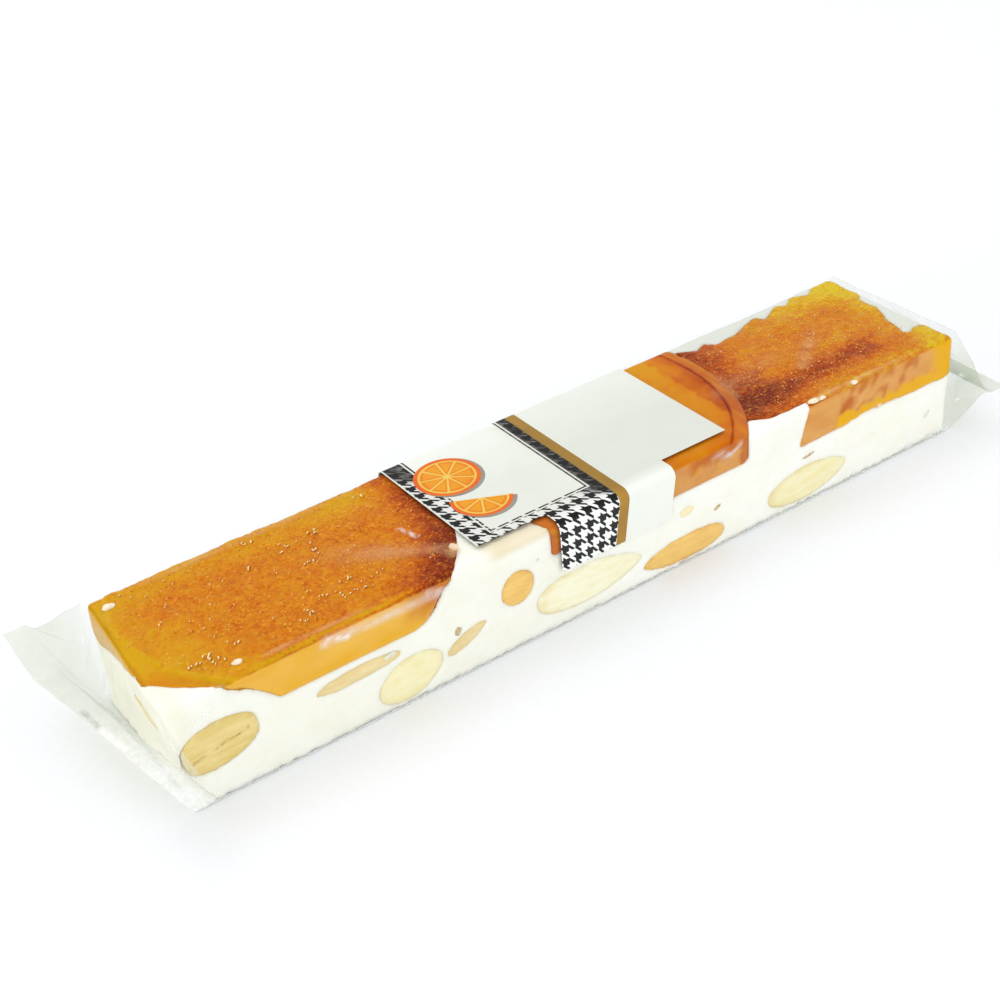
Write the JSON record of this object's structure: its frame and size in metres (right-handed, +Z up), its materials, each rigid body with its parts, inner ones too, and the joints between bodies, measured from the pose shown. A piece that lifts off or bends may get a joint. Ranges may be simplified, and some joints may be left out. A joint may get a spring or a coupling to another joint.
{
  "type": "nougat bar",
  "caption": "Long soft white nougat bar with almonds and candied orange pieces set in its top, in a clear film wrapper with a printed label.",
  "frame": {"origin": "centre of the bar's flat underside", "axes": "+X along the bar towards its right end as seen from the long side at -Y, +Z up"},
  "size_m": [0.206, 0.057, 0.0237],
  "materials": {
    "nougat": "soft, satin under film",
    "orange_slice_left": "glossy candied fruit",
    "orange_slice_middle": "glossy candied rind",
    "orange_slice_right": "glossy candied fruit",
    "almond": "matt cut nut",
    "label": "print on clear film",
    "film": "thin clear glossy film"
  },
  "bodies": {
    "root": {"nougat": "nougat", "orange_slice_left": "orange_slice_left", "orange_slice_middle": "orange_slice_middle", "orange_slice_right": "orange_slice_right", "almond_front_1": "almond", "almond_front_2": "almond", "almond_front_3": "almond", "almond_front_4": "almond", "almond_front_5": "almond", "almond_front_6": "almond", "almond_front_7": "almond", "almond_front_8": "almond", "almond_back_1": "almond", "almond_back_2": "almond", "almond_back_3": "almond", "almond_back_4": "almond", "almond_back_5": "almond", "almond_back_6": "almond", "almond_back_7": "almond", "almond_left_1": "almond", "almond_right_1": "almond", "almond_right_2": "almond", "label": "label", "film_end_left": "film", "film_end_right": "film"}
  },
  "joints": []
}
